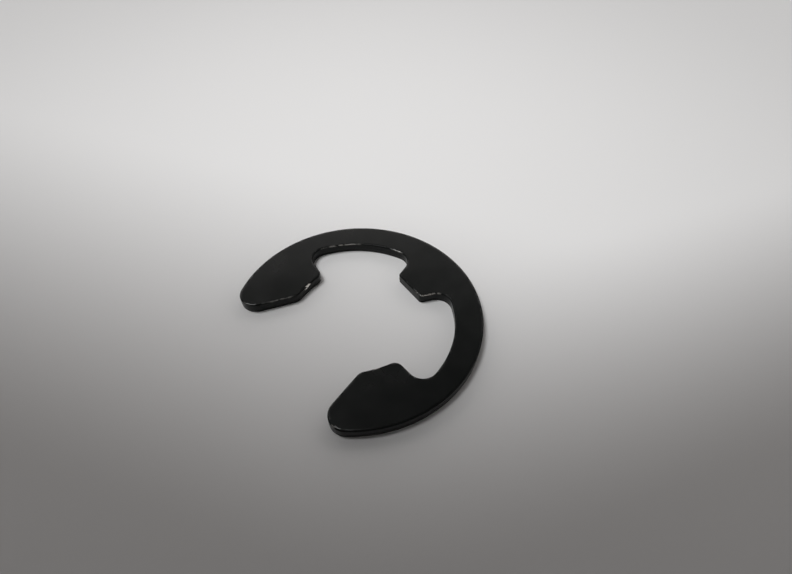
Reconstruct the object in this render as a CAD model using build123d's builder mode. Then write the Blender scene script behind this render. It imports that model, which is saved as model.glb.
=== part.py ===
from build123d import *
import os
from math import cos, radians, sin, sqrt

# E-clip stamped from one flat strip of spring steel, in millimetres.
# The shaft's axis is +Z, the underside lies on Z = 0 and the mouth opens towards -Y.

# Sizes across the clip
outer_diameter = 23.0
groove_diameter = 12.0  # floor of the shaft groove that the three prongs hold
thickness = 1.0
mouth_grip = 0.8  # how far inside the groove's radius each mouth corner stands

# Springing band, which thins from the middle prong towards the legs
band_width_at_prong = 2.7
band_width_at_legs = 2.1
root_radius = 1.4  # where the prong and the legs grow out of the band

# Middle prong, with a flat face
prong_face_width = 3.4
prong_flank_angle = 22.0  # each flank leans out from the mirror line
prong_corner_radius = 0.3

# Legs, with faces hollowed to a flatter curve than the groove
leg_face_radius = 11.5
leg_face_angle = 16.5  # where a leg touches the groove, turned from +X towards the mouth
leg_shoulder_height = 0.05  # inner end of the shoulder above the shaft's centre line
leg_shoulder_slope = 4.5
leg_corner_radius = 0.8
mouth_corner_radius = 1.1
lead_in_angle = 18.25  # each side of the mouth flares out from the mirror line
tip_radius = 1.55

# The most that a rounding's radius may be, as a share of the straight wall it runs into
largest_root_share = 0.6
largest_corner_share = 0.3

# Edges left by the punch and the tumbler
rolled_edge_radius = 0.1
fracture_height = 0.35
fracture_inset = 0.03

outer_radius = outer_diameter / 2
groove_radius = groove_diameter / 2

# The recess circle is off centre: it leaves one width of band behind the prong,
# and the other where it crosses the line through the shaft's centre
recess_reach = outer_radius - band_width_at_prong
recess_half_width = outer_radius - band_width_at_legs
recess_radius = (recess_half_width**2 / recess_reach + recess_reach) / 2
recess_centre = (0, recess_reach - recess_radius)

# A leg's face touches the groove at one point,
# on the line through the shaft's centre and the face's own centre
touch_direction = Vector(cos(radians(leg_face_angle)), -sin(radians(leg_face_angle)))
leg_face_centre = touch_direction * (groove_radius - leg_face_radius)

# Sharp corners of a leg's face, before rounding
shoulder_rise = leg_shoulder_height - leg_face_centre.Y
shoulder_corner = (leg_face_centre.X + sqrt(leg_face_radius**2 - shoulder_rise**2), leg_shoulder_height)
mouth_half_width = groove_radius - mouth_grip
mouth_run = mouth_half_width - leg_face_centre.X
mouth_corner = (mouth_half_width, leg_face_centre.Y - sqrt(leg_face_radius**2 - mouth_run**2))

flank_direction = (sin(radians(prong_flank_angle)), cos(radians(prong_flank_angle)))
shoulder_direction = (cos(radians(leg_shoulder_slope)), sin(radians(leg_shoulder_slope)))
lead_in_direction = (sin(radians(lead_in_angle)), -cos(radians(lead_in_angle)))

with BuildPart() as clip:
    with BuildSketch() as outline:
        # Half of the outline, from the mirror line round to the mirror line again
        with BuildLine():
            outer_circle = CenterArc((0, 0), outer_radius, -90, 180, mode=Mode.PRIVATE)
            recess_circle = CenterArc(recess_centre, recess_radius, -90, 180, mode=Mode.PRIVATE)
            prong_face = Line((0, groove_radius), (prong_face_width / 2, groove_radius))
            prong_flank = IntersectingLine(prong_face @ 1, flank_direction, recess_circle)
            shoulder = IntersectingLine(shoulder_corner, shoulder_direction, recess_circle)
            RadiusArc(prong_flank @ 1, shoulder @ 1, recess_radius)
            RadiusArc(shoulder @ 0, mouth_corner, leg_face_radius)
            lead_in = IntersectingLine(mouth_corner, lead_in_direction, outer_circle)
            ThreePointArc(lead_in @ 1, (outer_radius, 0), (0, outer_radius))
            Line((0, outer_radius), prong_face @ 0)
        make_face()
        rounded_corners = (
            (prong_flank @ 0, prong_corner_radius, largest_corner_share * prong_flank.length),
            (prong_flank @ 1, root_radius, largest_root_share * prong_flank.length),
            (shoulder @ 1, root_radius, largest_root_share * shoulder.length),
            (shoulder @ 0, leg_corner_radius, largest_corner_share * shoulder.length),
            (lead_in @ 0, mouth_corner_radius, largest_corner_share * lead_in.length),
            (lead_in @ 1, tip_radius, largest_corner_share * lead_in.length),
        )
        for corner, radius, largest_radius in rounded_corners:
            fillet(outline.vertices().sort_by_distance(corner)[0], min(radius, largest_radius))
        mirror(about=Plane.YZ)
    extrude(amount=thickness)

    # The punch draws the upper edge over,
    # and low on the wall the steel breaks away with a slight inward slope
    fillet(clip.faces().sort_by(Axis.Z)[-1].edges(), rolled_edge_radius)
    underside = clip.faces().sort_by(Axis.Z)[0]
    chamfer(underside.edges(), fracture_inset, fracture_height, reference=underside)

clip.part.label = "e_clip"

os.makedirs("parts", exist_ok=True)
export_step(clip.part, "parts/e_clip.step")
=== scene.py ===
import math

import bpy
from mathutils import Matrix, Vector


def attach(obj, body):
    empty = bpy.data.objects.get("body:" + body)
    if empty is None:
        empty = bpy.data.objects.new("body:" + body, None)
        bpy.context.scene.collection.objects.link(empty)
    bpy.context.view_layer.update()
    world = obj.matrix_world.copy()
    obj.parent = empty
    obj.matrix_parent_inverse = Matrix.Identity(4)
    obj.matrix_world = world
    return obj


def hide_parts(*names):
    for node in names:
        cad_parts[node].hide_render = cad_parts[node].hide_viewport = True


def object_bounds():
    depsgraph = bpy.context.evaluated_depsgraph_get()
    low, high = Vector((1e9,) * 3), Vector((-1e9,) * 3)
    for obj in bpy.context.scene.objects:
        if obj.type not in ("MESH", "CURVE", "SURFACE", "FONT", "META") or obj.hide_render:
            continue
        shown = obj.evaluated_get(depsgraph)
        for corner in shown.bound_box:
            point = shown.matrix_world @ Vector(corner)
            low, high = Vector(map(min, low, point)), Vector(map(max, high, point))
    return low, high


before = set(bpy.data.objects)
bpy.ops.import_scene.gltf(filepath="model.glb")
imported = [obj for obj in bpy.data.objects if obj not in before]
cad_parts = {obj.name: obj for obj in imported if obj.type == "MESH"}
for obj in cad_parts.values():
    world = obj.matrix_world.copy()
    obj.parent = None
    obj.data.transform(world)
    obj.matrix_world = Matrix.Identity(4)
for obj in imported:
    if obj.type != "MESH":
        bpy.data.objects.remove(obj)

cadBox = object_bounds()
mm = 0.001  # metres in a millimetre


# helpers

def srgb(hexText):
    # a colour as seen on screen, turned into the linear values that a shader takes
    channels = [int(hexText[i:i + 2], 16) / 255 for i in (1, 3, 5)]
    return [c / 12.92 if c <= 0.04045 else ((c + 0.055) / 1.055) ** 2.4 for c in channels] + [1.0]


def grey(level):
    return [level, level, level, 1.0]


def flat(x, y):
    return Vector((x, y, 0))


def heading(degrees):
    # unit vector turned from +X, looking down on the floor
    return flat(math.cos(math.radians(degrees)), math.sin(math.radians(degrees)))


def addNode(tree, kind, settings=None, links=None):
    # one node, with its settings and input values, and what feeds its inputs
    node = tree.nodes.new(kind)
    for name, value in (settings or {}).items():
        if hasattr(node, name):
            setattr(node, name, value)
        else:
            node.inputs[name].default_value = value
    for name, source in (links or {}).items():
        tree.links.new(source, node.inputs[name])
    return node


def setRamp(node, stops):
    # colour ramp from (place, colour) pairs
    elements = node.color_ramp.elements
    while len(elements) < len(stops):
        elements.new(1.0)
    for element, (place, colour) in zip(elements, stops):
        element.position = place
        element.color = colour


def newMaterial(name):
    material = bpy.data.materials.new(name)
    material.use_nodes = True
    material.node_tree.nodes.clear()
    return material, material.node_tree


# camera, close above the clip and looking down across it

view = {
    "place": (27.617, -15.66, 41.501),  # mm
    "turn": (40.7193, 0.1834, 53.7477),  # degrees
    "lens": 25.601,  # mm
    "sensor": 36.0,  # mm
    "nearest": 1.0,  # mm
    "furthest": 10000.0,  # mm
}

cameraData = bpy.data.cameras.new("camera")
cameraData.sensor_width = view["sensor"]
cameraData.lens = view["lens"]
cameraData.clip_start = view["nearest"] * mm
cameraData.clip_end = view["furthest"] * mm
camera = bpy.data.objects.new("camera", cameraData)
camera.location = Vector(view["place"]) * mm
camera.rotation_euler = [math.radians(a) for a in view["turn"]]
bpy.context.scene.collection.objects.link(camera)
bpy.context.scene.camera = camera
bpy.context.scene.view_settings.view_transform = "Standard"
print("camera set")


# room: white paper, a soft lamp overhead, two felt flags that shade the near side,
# pale walls and a dim ceiling

room = {
    "floorHalf": 1500.0,  # mm
    # the paper's colour holds a painted pool of light: lightest round its middle, fading out to painted
    # shade
    "paperInPaintedLight": "#ededed",
    "paperInPaintedShade": "#cacaca",
    "paintedLightCentre": (-17.9, 11.2),  # mm, middle of the pool of light painted on the paper, where it is lightest
    "paintedLightFade": 89.0,  # mm from there to where the painted shade is darkest
    "fibre": 0.9,  # mm
    "fibreDetail": 4.0,  # steps of ever finer noise
    "fibreRelief": 0.02,  # mm
    "fibreShare": 0.08,
    "paperRough": 0.9,
    "paperIor": 1.45,
    "felt": "#1a1a1a",
    "sunFrom": 235.0,  # degrees from +X, looking down on the floor
    "sunHeight": 68.0,  # degrees above the floor
    "sunStrength": 2.06,
    "sunSpread": 28.0,  # degrees
    "flagSize": 200.0,  # mm
    # for each flag, how far the straight edge of its shade passes the shaft's axis in mm,
    # the turn in degrees that the edge is square to, and how high the flag hangs in mm
    "flags": ((-2.5, 124.4, 72.0), (-9.8, 162.7, 48.8)),
    "wallLight": (1.0, 0.96, 0.94, 1.0),
    "ceilingLight": (0.055, 0.055, 0.055, 1.0),
    "wallTop": 0.60,  # sine of the angle above the floor
    "ceilingStart": 0.72,  # the same, where the walls have given way to the ceiling
    "litSide": 144.0,  # degrees, the side of the room that the light falls on
    "sideFade": 0.6,  # how far across the room the light fades
    "dimShare": 0.6,  # how much of the light comes from the other side
}

bpy.ops.object.select_all(action="DESELECT")
bpy.ops.mesh.primitive_plane_add(size=2 * room["floorHalf"] * mm)
floor = bpy.context.object
floor.name = "floor"

# uncoated paper: matt, with a pool of light painted into its colour, lightest in the middle and fading to
# painted shade further out, with fibres that are only just visible
paper, tree = newMaterial("uncoated white paper")
place = addNode(tree, "ShaderNodeTexCoord").outputs["Object"]
centre = [*(c * mm for c in room["paintedLightCentre"]), 0]
reach = addNode(tree, "ShaderNodeVectorMath", {"operation": "DISTANCE"}, {0: place})
reach.inputs[1].default_value = centre
# painted light: the paper's colour darkens with distance from the middle of the painted pool
paintedLightFalloff = addNode(tree, "ShaderNodeMapRange",
               {"From Max": room["paintedLightFade"] * mm, "interpolation_type": "SMOOTHSTEP"},
               {"Value": reach.outputs["Value"]})
tone = addNode(tree, "ShaderNodeValToRGB", None, {"Fac": paintedLightFalloff.outputs["Result"]})
setRamp(tone, [(0.0, srgb(room["paperInPaintedLight"])), (1.0, srgb(room["paperInPaintedShade"]))])
fibre = addNode(tree, "ShaderNodeTexNoise",
                {"Scale": 1 / (room["fibre"] * mm), "Detail": room["fibreDetail"]}, {"Vector": place})
press = addNode(tree, "ShaderNodeBump",
                {"Strength": room["fibreShare"], "Distance": room["fibreRelief"] * mm},
                {"Height": fibre.outputs["Fac"]})
bsdf = addNode(tree, "ShaderNodeBsdfPrincipled",
               {"Roughness": room["paperRough"], "IOR": room["paperIor"]},
               {"Base Color": tone.outputs["Color"], "Normal": press.outputs["Normal"]})
addNode(tree, "ShaderNodeOutputMaterial", None, {"Surface": bsdf.outputs[0]})
floor.data.materials.append(paper)

sunRise = math.radians(room["sunHeight"])
sunWay = heading(room["sunFrom"]) * math.cos(sunRise) + Vector((0, 0, math.sin(sunRise)))
sunData = bpy.data.lights.new("sun", "SUN")
sunData.energy = room["sunStrength"]
sunData.angle = math.radians(room["sunSpread"])
sun = bpy.data.objects.new("sun", sunData)
sun.rotation_euler = sunWay.to_track_quat("Z", "Y").to_euler()
bpy.context.scene.collection.objects.link(sun)

# wool felt: dark and fully matt, so that a flag throws shade and no light
felt, tree = newMaterial("black felt")
bsdf = addNode(tree, "ShaderNodeBsdfPrincipled", {"Base Color": srgb(room["felt"]), "Roughness": 1.0})
addNode(tree, "ShaderNodeOutputMaterial", None, {"Surface": bsdf.outputs[0]})

# each flag hangs up along the light from the middle of the shade that it throws
for edge, turn, height in room["flags"]:
    flagAt = heading(turn) * (edge - room["flagSize"] / 2) + sunWay * (height / sunWay.z)
    bpy.ops.object.select_all(action="DESELECT")
    bpy.ops.mesh.primitive_plane_add(size=room["flagSize"] * mm, location=flagAt * mm,
                                     rotation=(0, 0, math.radians(turn)))
    flag = bpy.context.object
    flag.name = "flag"
    flag.visible_camera = False
    flag.data.materials.append(felt)

world = bpy.data.worlds.new("room")
world.use_nodes = True
bpy.context.scene.world = world
tree = world.node_tree
tree.nodes.clear()
way = addNode(tree, "ShaderNodeTexCoord").outputs["Generated"]
rise = addNode(tree, "ShaderNodeSeparateXYZ", None, {"Vector": way})
walls = addNode(tree, "ShaderNodeValToRGB", None, {"Fac": rise.outputs["Z"]})
setRamp(walls, [(room["wallTop"], room["wallLight"]), (room["ceilingStart"], room["ceilingLight"])])
facing = addNode(tree, "ShaderNodeVectorMath", {"operation": "DOT_PRODUCT"}, {0: way})
facing.inputs[1].default_value = heading(room["litSide"])
share = addNode(tree, "ShaderNodeMapRange",
                {"From Min": -room["sideFade"], "From Max": room["sideFade"], "To Min": room["dimShare"]},
                {"Value": facing.outputs["Value"]})
sky = addNode(tree, "ShaderNodeBackground", None,
              {"Color": walls.outputs["Color"], "Strength": share.outputs["Result"]})
addNode(tree, "ShaderNodeOutputWorld", None, {"Surface": sky.outputs[0]})
print("room set")


# stamped clip, drawn at one unit to the millimetre and brought down to metres at the end

clip = {
    "outerRadius": (cadBox[1].x - cadBox[0].x) / 2 / mm,
    "grooveRadius": 6.0,
    "thickness": (cadBox[1].z - cadBox[0].z) / mm,
    "mouthGrip": 0.8,  # each mouth corner stands this far inside the groove's radius
    "bandAtProng": 2.7,
    "bandAtLegs": 2.1,
    "rootRadius": 1.4,
    "prongFaceHalf": 1.7,
    "prongFlank": 22.0,  # degrees off the mirror line
    "prongCorner": 0.3,
    "legFaceRadius": 11.5,
    "legFaceTurn": 16.5,  # degrees from +X to where a leg touches the groove
    "shoulderHeight": 0.05,
    "shoulderSlope": 4.5,  # degrees
    "legCorner": 0.8,
    "mouthCorner": 1.1,
    "leadIn": 18.25,  # degrees off the mirror line
    "tip": 1.55,
    "seam": 0.001,  # the two halves join where their points stand closer than this
    "step": 0.1,  # between points of the outline
    "largestTurn": 9.0,  # degrees between points of a rounding
    "roll": 0.1,  # the punch draws the upper edge over
    "rollSteps": 6,
    "tornHeight": 0.35,  # below this the steel broke away
    "tornInset": 0.03,
    "tornRows": 5,
    "shearedRows": 5,
    "tornWander": 0.12,  # how far the line between sheared and torn steel strays up and down
    "tornWave": 1.0,  # from one rise of that line to the next
    "tornGrain": 0.14,
    "tornDepth": 0.02,
    "burrEdge": 0.02,  # tumbling blunts the lower edge
    "burrSteps": 2,
    "rimBand": 0.15,  # rings of faces inside the rolled edge keep the flat face flat
    "dentGrain": 0.5,
    "dentDepth": 0.025,
    "sharpFrom": 35.0,  # degrees between faces, past which an edge is shaded sharp
}
hair = 0.00001  # mm, for telling levels apart


def roundingAt(wall, along, side, centre, reach, radius, near):
    # middle of a rounding that lies to one side of a straight wall (1 is left)
    # and at a reach from a circle's centre, and the point where it meets the wall
    across = flat(-along.y, along.x) * side
    start = wall + across * radius - centre
    forward = -start.dot(along)
    spread = math.sqrt(forward ** 2 - start.length_squared + reach ** 2)
    found = [centre + start + along * (forward + way * spread) for way in (1, -1)]
    middle = min(found, key=lambda point: (point - near).length)
    return middle, middle - across * radius


def onCircle(centre, radius, point):
    return centre + (point - centre).normalized() * radius


def drawStraight(here, there):
    count = math.ceil((there - here).length / clip["step"])
    for _ in range(count):
        bpy.ops.mesh.extrude_region_move(TRANSFORM_OT_translate={"value": (there - here) / count})
    return there


def drawArc(here, there, centre):
    first = here - centre
    last = there - centre
    turn = math.atan2(first.x * last.y - first.y * last.x, first.dot(last))
    turns = abs(turn) / math.radians(clip["largestTurn"])
    count = math.ceil(max(abs(turn) * first.length / clip["step"], turns))
    bpy.ops.mesh.spin(steps=count, angle=-turn, center=centre, axis=(0, 0, 1))  # spin counts clockwise
    return there


def drawHalfOutline(c):
    # from the middle of the prong's face, round one leg, to the top of the outer circle
    shaft = flat(0, 0)
    recessReach = c["outerRadius"] - c["bandAtProng"]
    recessRadius = ((c["outerRadius"] - c["bandAtLegs"]) ** 2 / recessReach + recessReach) / 2
    recess = flat(0, recessReach - recessRadius)
    legFace = heading(-c["legFaceTurn"]) * (c["grooveRadius"] - c["legFaceRadius"])

    # sharp corners and the walls that leave them
    faceEnd = flat(c["prongFaceHalf"], c["grooveRadius"])
    flank = heading(90 - c["prongFlank"])
    shoulderRise = c["shoulderHeight"] - legFace.y
    shoulderReach = math.sqrt(c["legFaceRadius"] ** 2 - shoulderRise ** 2)
    shoulderEnd = flat(legFace.x + shoulderReach, c["shoulderHeight"])
    shoulder = heading(180 + c["shoulderSlope"])
    mouthHalf = c["grooveRadius"] - c["mouthGrip"]
    mouthDrop = math.sqrt(c["legFaceRadius"] ** 2 - (mouthHalf - legFace.x) ** 2)
    mouthEnd = flat(mouthHalf, legFace.y - mouthDrop)
    leadIn = heading(c["leadIn"] - 90)

    # roundings
    cornerCut = c["prongCorner"] * math.tan(math.radians(90 - c["prongFlank"]) / 2)
    prongMiddle = faceEnd + flat(-cornerCut, c["prongCorner"])
    rootReach = recessRadius - c["rootRadius"]
    flankRoot, flankTop = roundingAt(faceEnd, flank, -1, recess, rootReach, c["rootRadius"],
                                     faceEnd + flank * recessRadius)
    legRoot, shoulderStart = roundingAt(shoulderEnd, shoulder, -1, recess, rootReach, c["rootRadius"],
                                        shoulderEnd - shoulder * recessRadius)
    legMiddle, shoulderStop = roundingAt(shoulderEnd, shoulder, 1, legFace,
                                         c["legFaceRadius"] + c["legCorner"], c["legCorner"], shoulderEnd)
    mouthMiddle, leadInStart = roundingAt(mouthEnd, leadIn, 1, legFace,
                                          c["legFaceRadius"] + c["mouthCorner"], c["mouthCorner"], mouthEnd)
    tipMiddle, leadInStop = roundingAt(mouthEnd, leadIn, 1, shaft, c["outerRadius"] - c["tip"], c["tip"],
                                       mouthEnd + leadIn * c["outerRadius"])

    # a plane merged to one point, which extrude and spin then carry along the outline
    here = flat(0, c["grooveRadius"])
    bpy.ops.object.select_all(action="DESELECT")
    bpy.ops.mesh.primitive_plane_add(size=1, location=here)
    bpy.ops.object.transform_apply()
    bpy.ops.object.mode_set(mode="EDIT")
    bpy.ops.mesh.merge(type="CENTER")
    here = drawStraight(here, faceEnd - flat(cornerCut, 0))
    here = drawArc(here, faceEnd + flank * cornerCut, prongMiddle)
    here = drawStraight(here, flankTop)
    here = drawArc(here, onCircle(recess, recessRadius, flankRoot), flankRoot)
    here = drawArc(here, onCircle(recess, recessRadius, legRoot), recess)
    here = drawArc(here, shoulderStart, legRoot)
    here = drawStraight(here, shoulderStop)
    here = drawArc(here, onCircle(legFace, c["legFaceRadius"], legMiddle), legMiddle)
    here = drawArc(here, onCircle(legFace, c["legFaceRadius"], mouthMiddle), legFace)
    here = drawArc(here, leadInStart, mouthMiddle)
    here = drawStraight(here, leadInStop)
    here = drawArc(here, onCircle(shaft, c["outerRadius"], tipMiddle), tipMiddle)
    drawArc(here, flat(0, c["outerRadius"]), shaft)
    bpy.ops.object.mode_set(mode="OBJECT")
    return bpy.context.object


def pickVertices(piece, wanted):
    # leaves only the wanted vertices selected, in edit mode
    bpy.ops.object.mode_set(mode="EDIT")
    bpy.ops.mesh.select_mode(type="VERT")
    bpy.ops.mesh.select_all(action="DESELECT")
    bpy.ops.object.mode_set(mode="OBJECT")
    for vertex in piece.data.vertices:
        vertex.select = wanted(vertex.co)
    bpy.ops.object.mode_set(mode="EDIT")


def pickFlatFace(piece, level):
    # leaves only the big face at that height selected, in edit mode
    bpy.ops.object.mode_set(mode="EDIT")
    bpy.ops.mesh.select_mode(type="FACE")
    bpy.ops.mesh.select_all(action="DESELECT")
    bpy.ops.object.mode_set(mode="OBJECT")
    biggest = max((f for f in piece.data.polygons if abs(f.center.z - level) < hair), key=lambda f: f.area)
    biggest.select = True
    bpy.ops.object.mode_set(mode="EDIT")


def weigh(piece, name, weight):
    # vertex group whose weight comes from each vertex's place
    group = piece.vertex_groups.new(name=name)
    for vertex in piece.data.vertices:
        share = weight(vertex.co)
        if share > 0:
            group.add([vertex.index], share, "REPLACE")
    return name


def displace(piece, group, strength, grain=None, direction="NORMAL", middle=0.0):
    # pushes a group's vertices, by a cloud pattern where it has a grain in mm
    modifier = piece.modifiers.new(group, "DISPLACE")
    modifier.vertex_group = group
    modifier.strength = strength
    modifier.mid_level = middle
    modifier.direction = direction
    if grain:
        clouds = bpy.data.textures.new(group, "CLOUDS")
        clouds.noise_scale = grain
        modifier.texture = clouds
        modifier.texture_coords = "LOCAL"
    bpy.ops.object.modifier_apply(modifier=group)


def makeClip(c):
    blank = drawHalfOutline(c)
    blank.name = "stamped_clip"
    mirror = blank.modifiers.new("mirror", "MIRROR")
    mirror.merge_threshold = c["seam"]
    bpy.ops.object.modifier_apply(modifier=mirror.name)
    print("clip outline:", len(blank.data.vertices), "points")

    # wall, raised row by row
    tornRow = c["tornHeight"] / c["tornRows"]
    shearedRow = (c["thickness"] - c["tornHeight"]) / c["shearedRows"]
    rises = [tornRow] * c["tornRows"] + [shearedRow] * c["shearedRows"]
    bpy.ops.object.mode_set(mode="EDIT")
    bpy.ops.mesh.select_all(action="SELECT")
    for rise in rises:
        bpy.ops.mesh.extrude_region_move(TRANSFORM_OT_translate={"value": (0, 0, rise)})
    bpy.ops.mesh.select_all(action="SELECT")
    bpy.ops.mesh.normals_make_consistent(inside=False)
    bpy.ops.object.mode_set(mode="OBJECT")

    # torn lower part: it slopes in, is rough, and the line above it wanders
    weigh(blank, "slope", lambda co: 1 - co.z / c["tornHeight"])
    displace(blank, "slope", -c["tornInset"])
    weigh(blank, "line", lambda co: 1 - abs(co.z - c["tornHeight"]) / (c["tornHeight"] / 2))
    displace(blank, "line", c["tornWander"], c["tornWave"], direction="Z", middle=0.5)
    weigh(blank, "rough", lambda co: 1.0 if hair < co.z < c["tornHeight"] - tornRow else 0.0)
    displace(blank, "rough", -c["tornDepth"], c["tornGrain"])

    # flat faces
    for level in (0, c["thickness"]):
        pickVertices(blank, lambda co: abs(co.z - level) < hair)
        bpy.ops.mesh.edge_face_add()
        bpy.ops.object.mode_set(mode="OBJECT")

    # rolled upper edge and blunted lower edge
    pickVertices(blank, lambda co: co.z > c["thickness"] - hair)
    bpy.ops.mesh.bevel(offset=c["roll"], segments=c["rollSteps"], affect="EDGES", clamp_overlap=False)
    bpy.ops.object.mode_set(mode="OBJECT")
    pickVertices(blank, lambda co: co.z < hair)
    bpy.ops.mesh.bevel(offset=c["burrEdge"], segments=c["burrSteps"], affect="EDGES", clamp_overlap=False)
    bpy.ops.object.mode_set(mode="OBJECT")
    for level in (0, c["thickness"]):
        pickFlatFace(blank, level)
        bpy.ops.mesh.inset(thickness=c["rimBand"])
        bpy.ops.object.mode_set(mode="OBJECT")

    # small dents from tumbling, along the rolled edge
    rimStart = c["thickness"] - c["roll"]
    weigh(blank, "rim", lambda co: 1.0 if rimStart + hair < co.z < c["thickness"] - hair else 0.0)
    displace(blank, "rim", -c["dentDepth"], c["dentGrain"])

    bpy.ops.object.select_all(action="DESELECT")
    blank.select_set(True)
    blank.scale = (mm, mm, mm)
    bpy.ops.object.transform_apply()
    bpy.ops.object.shade_smooth_by_angle(angle=math.radians(c["sharpFrom"]))
    blank.vertex_groups.clear()
    return blank


blank = makeClip(clip)
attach(blank, "root")
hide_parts("e_clip")
print("clip made:", len(blank.data.polygons), "faces")


# spring steel, blacked by phosphate and oiled: near black, with the soft gloss of the oil on the flat
# faces, duller walls with the punch's lines above and torn steel below, and bare metal only where
# tumbling and the shaft rubbed it

finish = {
    "dark": "#080a09",
    "light": "#101312",
    "noiseSpan": (0.3, 0.7),  # the noise seldom strays outside this
    "fineDetail": 3.0,  # steps of ever finer noise in the crystals and the rubbed spots
    "crystal": 0.12,  # mm, drawn coarser than the real 0.02 so that it shows
    "crystalRelief": 0.004,  # mm
    "crystalShare": 0.12,
    "oil": 2.4,  # mm, patches of thicker and thinner oil
    "oily": 0.22,  # roughness where the oil lies thick
    "dry": 0.28,
    "oilIor": 1.5,
    "flatShine": 0.5,
    "wallShine": 0.17,  # the walls hold less oil
    "flatFrom": 0.85,  # how far up or down a normal points where more oil than on a wall starts to lie
    "drag": 0.05,  # mm between the lines that the punch drags down the wall
    "dragLength": 1.6,  # mm
    "dragRelief": 0.02,  # mm
    "dragShare": 0.15,
    "wallTilt": 0.5,  # the lines end where a face leans back by more than this sine
    "torn": 0.42,  # roughness of the torn steel
    "tornTop": (0.28, 0.42),  # mm above the underside, where torn steel gives way to sheared
    "bare": "#dedbd5",
    "bareRough": 0.27,
    # how far upwards the rolled edge's normal points, and how much of the edge's own finish it takes
    "edgeTilt": ((0.3, 0.0), (0.5, 1.0), (0.88, 1.0), (0.97, 0.0)),
    "edgeDull": 0.7,  # roughness of the rolled edge where nothing rubbed it
    "edgeWorn": 0.25,
    "edgeShine": 0.11,
    "polished": 0.3,  # wear that is enough to take the edge's dullness away
    "wear": 0.45,  # mm between rubbed spots on the rolled edge
    "wearFrom": 0.38,  # share of the noise above which a worn edge starts to show bare
    "wearFull": 0.62,
    "wornMiddle": 2.0,  # the wear in the middle of a place, as a multiple of its share
    # places on the rolled edge in mm, how far round them it is worn, and how much of it shows bare
    "worn": ((-8.4, 3.9, 2.1, 0.3), (-9.26, 1.95, 0.3, 0.3), (-4.5, 7.9, 0.8, 0.25), (1.7, 6.8, 1.4, 1.0),
             (-5.8, -4.8, 1.7, 0.2), (8.05, -7.5, 0.3, 0.3), (6.6, -6.6, 0.3, 0.2),
             (-7.2, -7.4, 0.5, 0.15)),
    "rub": (5.73, 1.85, 0.84),  # mm off the mirror line, towards the mouth and up, where a leg rubs
    "rubReach": 0.8,  # mm
    "rubSquash": 2.2,  # the fleck is this many times longer than high
    "rubWeight": 0.5,  # how much nearness adds to the noise, which leaves the fleck ragged
    "scrape": 0.3,  # mm between the scrapes
    "scrapeFrom": 0.81,  # sum of both above which the wall starts to show bare
    "scrapeFull": 0.86,
    "topSpan": (0.95, 0.85),  # the fleck ends where the normal turns up to the flat top
}


steel, tree = newMaterial("black phosphated spring steel")
place = addNode(tree, "ShaderNodeTexCoord").outputs["Object"]
height = addNode(tree, "ShaderNodeSeparateXYZ", None, {"Vector": place}).outputs["Z"]
normal = addNode(tree, "ShaderNodeNewGeometry").outputs["Normal"]
upward = addNode(tree, "ShaderNodeSeparateXYZ", None, {"Vector": normal}).outputs["Z"]
level = addNode(tree, "ShaderNodeMath", {"operation": "ABSOLUTE"}, {0: upward}).outputs[0]

# phosphate crystals and patches of oil
lowNoise, highNoise = finish["noiseSpan"]
crystal = addNode(tree, "ShaderNodeTexNoise",
                  {"Scale": 1 / (finish["crystal"] * mm), "Detail": finish["fineDetail"]},
                  {"Vector": place})
tone = addNode(tree, "ShaderNodeValToRGB", None, {"Fac": crystal.outputs["Fac"]})
setRamp(tone, [(lowNoise, srgb(finish["dark"])), (highNoise, srgb(finish["light"]))])
oil = addNode(tree, "ShaderNodeTexNoise", {"Scale": 1 / (finish["oil"] * mm)}, {"Vector": place})
gloss = addNode(tree, "ShaderNodeMapRange",
                {"From Min": lowNoise, "From Max": highNoise,
                 "To Min": finish["oily"], "To Max": finish["dry"]},
                {"Value": oil.outputs["Fac"]})
shine = addNode(tree, "ShaderNodeMapRange",
                {"From Min": finish["flatFrom"], "To Min": finish["wallShine"],
                 "To Max": finish["flatShine"]},
                {"Value": level})

# walls: lines dragged down the sheared steel, and the torn steel below it left rough
sheared = addNode(tree, "ShaderNodeMapRange",
                  {"From Min": finish["tornTop"][0] * mm, "From Max": finish["tornTop"][1] * mm},
                  {"Value": height})
rough = addNode(tree, "ShaderNodeMix", {"A": finish["torn"]},
                {"Factor": sheared.outputs["Result"], "B": gloss.outputs["Result"]})
stretch = [1 / (finish["drag"] * mm)] * 2 + [1 / (finish["dragLength"] * mm)]
along = addNode(tree, "ShaderNodeMapping", {"Scale": stretch}, {"Vector": place})
drag = addNode(tree, "ShaderNodeTexNoise", {"Scale": 1.0}, {"Vector": along.outputs["Vector"]})
upright = addNode(tree, "ShaderNodeMapRange",
                  {"From Max": finish["wallTilt"], "To Min": finish["dragShare"], "To Max": 0.0},
                  {"Value": level})
lines = addNode(tree, "ShaderNodeBump", {"Distance": finish["dragRelief"] * mm},
                {"Height": drag.outputs["Fac"], "Strength": upright.outputs["Result"]})
grain = addNode(tree, "ShaderNodeBump",
                {"Strength": finish["crystalShare"], "Distance": finish["crystalRelief"] * mm},
                {"Height": crystal.outputs["Fac"], "Normal": lines.outputs["Normal"]})

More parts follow.
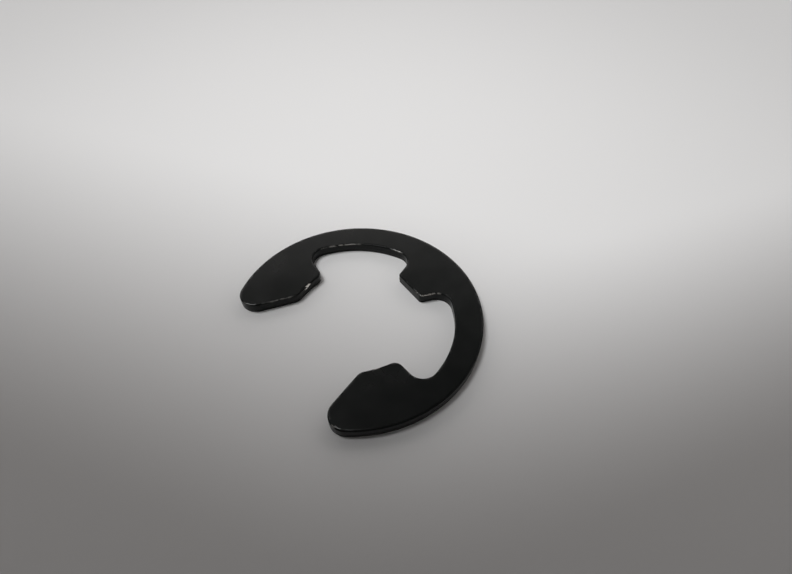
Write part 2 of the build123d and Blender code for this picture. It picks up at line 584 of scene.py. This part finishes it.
# the rolled edge is dull but for a few places, where wear polished it and laid spots of it bare
edge = addNode(tree, "ShaderNodeValToRGB", None, {"Fac": upward}).outputs["Color"]
setRamp(edge.node, [(tilt, grey(share)) for tilt, share in finish["edgeTilt"]])
wornPlaces = []
for x, y, reach, share in finish["worn"]:
    away = addNode(tree, "ShaderNodeVectorMath", {"operation": "DISTANCE"}, {0: place})
    away.inputs[1].default_value = (x * mm, y * mm, cadBox[1].z)
    near = addNode(tree, "ShaderNodeMapRange",
                   {"From Min": reach * mm, "From Max": 0.0, "To Max": finish["wornMiddle"] * share},
                   {"Value": away.outputs["Value"]})
    wornPlaces.append(near.outputs["Result"])
worn = wornPlaces[0]
for nextPlace in wornPlaces[1:]:
    worn = addNode(tree, "ShaderNodeMath", {"operation": "MAXIMUM"}, {0: worn, 1: nextPlace}).outputs[0]
spots = addNode(tree, "ShaderNodeTexNoise",
                {"Scale": 1 / (finish["wear"] * mm), "Detail": finish["fineDetail"]}, {"Vector": place})
spotted = addNode(tree, "ShaderNodeMapRange",
                  {"From Min": finish["wearFrom"], "From Max": finish["wearFull"]},
                  {"Value": spots.outputs["Fac"]})
wornEdge = addNode(tree, "ShaderNodeMath", {"operation": "MULTIPLY"}, {0: worn, 1: edge})
bareEdge = addNode(tree, "ShaderNodeMath", {"operation": "MULTIPLY", "use_clamp": True},
                   {0: wornEdge.outputs[0], 1: spotted.outputs["Result"]})
edgeGloss = addNode(tree, "ShaderNodeMapRange",
                    {"From Max": finish["polished"], "To Min": finish["edgeDull"],
                     "To Max": finish["edgeWorn"]},
                    {"Value": worn})
edgeShine = addNode(tree, "ShaderNodeMapRange",
                    {"From Max": finish["polished"], "To Min": finish["edgeShine"],
                     "To Max": finish["flatShine"]},
                    {"Value": worn})
rough = addNode(tree, "ShaderNodeMix", None,
                {"Factor": edge, "A": rough.outputs["Result"], "B": edgeGloss.outputs["Result"]})
shine = addNode(tree, "ShaderNodeMix", None,
                {"Factor": edge, "A": shine.outputs["Result"], "B": edgeShine.outputs["Result"]})

# a ragged bare fleck on each leg, high on the wall that bears on the shaft
bothSides = addNode(tree, "ShaderNodeVectorMath", {"operation": "ABSOLUTE"}, {0: place})
squash = Vector((1, 1, finish["rubSquash"]))
squashed = addNode(tree, "ShaderNodeVectorMath", {"operation": "MULTIPLY"}, {0: bothSides.outputs["Vector"]})
squashed.inputs[1].default_value = squash
rubAt = addNode(tree, "ShaderNodeVectorMath", {"operation": "DISTANCE"}, {0: squashed.outputs["Vector"]})
rubAt.inputs[1].default_value = squash * Vector(finish["rub"]) * mm
rub = addNode(tree, "ShaderNodeMapRange",
              {"From Min": finish["rubReach"] * mm, "From Max": 0.0, "To Max": finish["rubWeight"]},
              {"Value": rubAt.outputs["Value"]})
scrape = addNode(tree, "ShaderNodeTexNoise", {"Scale": 1 / (finish["scrape"] * mm)},
                 {"Vector": squashed.outputs["Vector"]})
ragged = addNode(tree, "ShaderNodeMath", {"operation": "ADD"},
                 {0: rub.outputs["Result"], 1: scrape.outputs["Fac"]})
scraped = addNode(tree, "ShaderNodeMapRange",
                  {"From Min": finish["scrapeFrom"], "From Max": finish["scrapeFull"]},
                  {"Value": ragged.outputs[0]})
offTop = addNode(tree, "ShaderNodeMapRange",
                 {"From Min": finish["topSpan"][0], "From Max": finish["topSpan"][1]}, {"Value": upward})
rubbed = addNode(tree, "ShaderNodeMath", {"operation": "MULTIPLY"},
                 {0: offTop.outputs["Result"], 1: scraped.outputs["Result"]})
bare = addNode(tree, "ShaderNodeMath", {"operation": "MAXIMUM"},
               {0: bareEdge.outputs[0], 1: rubbed.outputs[0]})

colour = addNode(tree, "ShaderNodeMixRGB", {"Color2": srgb(finish["bare"])},
                 {"Fac": bare.outputs[0], "Color1": tone.outputs["Color"]})
smooth = addNode(tree, "ShaderNodeMix", {"B": finish["bareRough"]},
                 {"Factor": bare.outputs[0], "A": rough.outputs["Result"]})
bsdf = addNode(tree, "ShaderNodeBsdfPrincipled", {"IOR": finish["oilIor"]},
               {"Base Color": colour.outputs["Color"], "Metallic": bare.outputs[0],
                "Roughness": smooth.outputs["Result"], "Specular IOR Level": shine.outputs["Result"],
                "Normal": grain.outputs["Normal"]})
addNode(tree, "ShaderNodeOutputMaterial", None, {"Surface": bsdf.outputs[0]})
blank.data.materials.append(steel)
print("clip dressed")
